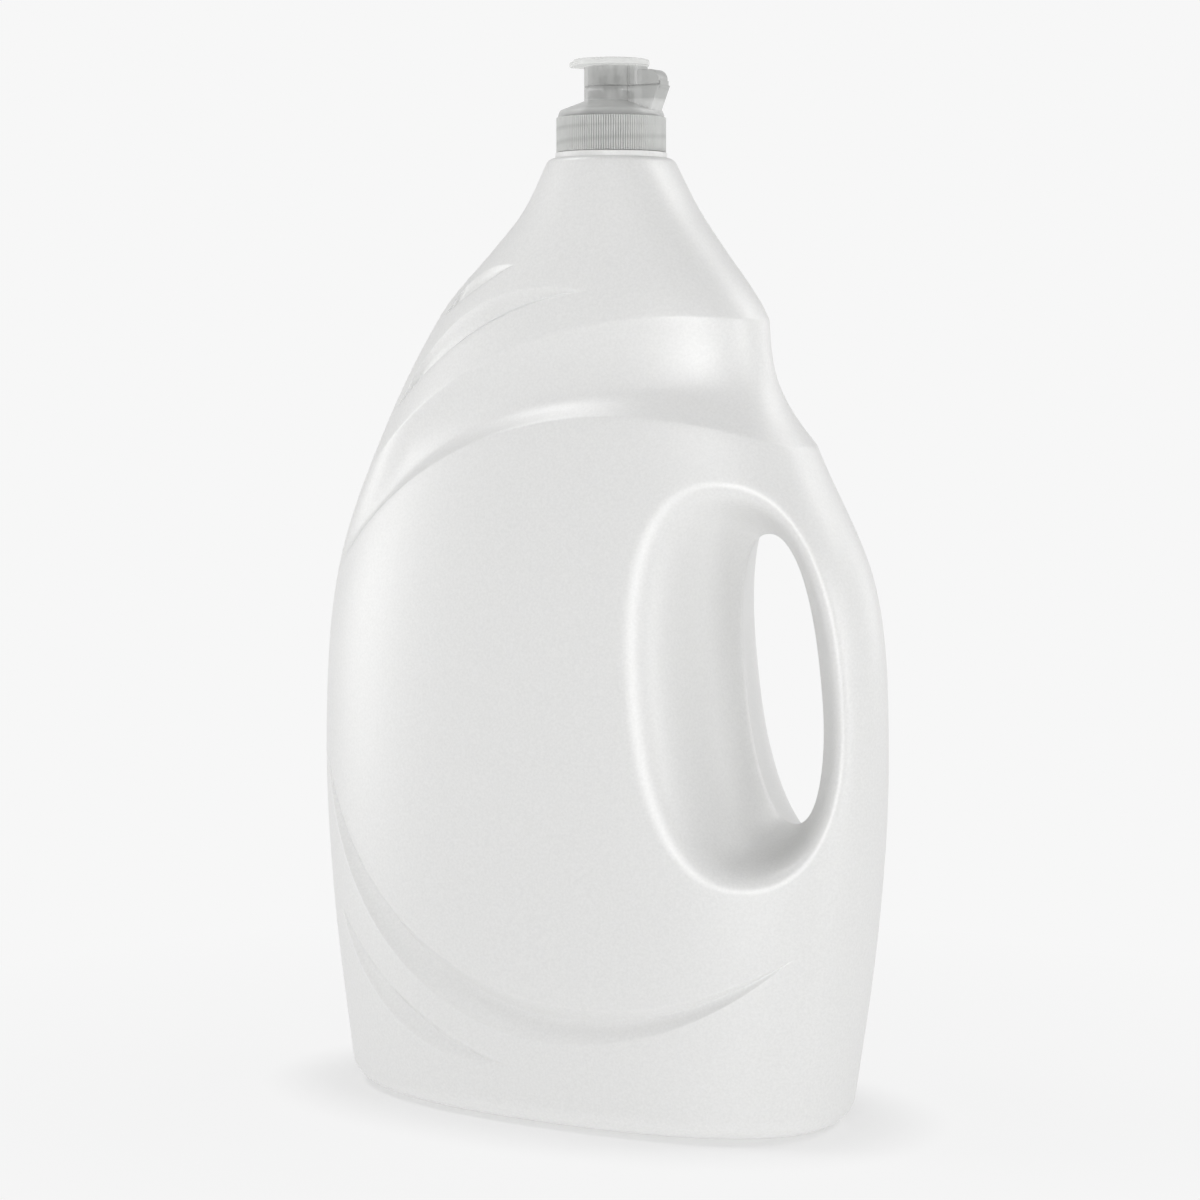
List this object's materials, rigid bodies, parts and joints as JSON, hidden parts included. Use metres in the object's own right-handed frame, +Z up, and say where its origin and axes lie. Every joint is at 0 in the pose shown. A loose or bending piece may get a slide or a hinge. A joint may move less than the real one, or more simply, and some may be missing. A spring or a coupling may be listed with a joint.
{
  "type": "dish soap bottle",
  "caption": "Large blown dish soap bottle with a through handle, sculpted collar and crescents, and a screw closure with a flip lid over its nozzle.",
  "frame": {"origin": "middle of the part's bounding box at the plane of the standing ring", "axes": "+Z up along the neck, +X towards the handle, -Y out of the main face that the picture shows"},
  "size_m": [0.189, 0.084, 0.315],
  "materials": {
    "bottle_plastic": "satin white blown polyethylene",
    "closure_plastic": "natural grey moulded polypropylene, slightly see-through"
  },
  "bodies": {
    "bottle": {"bottle": "bottle_plastic"},
    "closure": {"closure_body": "closure_plastic"},
    "lid": {"flip_lid": "closure_plastic"}
  },
  "joints": [
    {"name": "closure_screw", "type": "hinge", "parent": "bottle", "child": "closure", "pos_m": [0.0048, 0, 0.2876], "axis": [0, 0, 1], "range_deg": [0, 450]},
    {"name": "lid_flip", "type": "hinge", "parent": "closure", "child": "lid", "pos_m": [0.0231, 0, 0.30705], "axis": [0, 1, 0], "range_deg": [0, 170]}
  ]
}
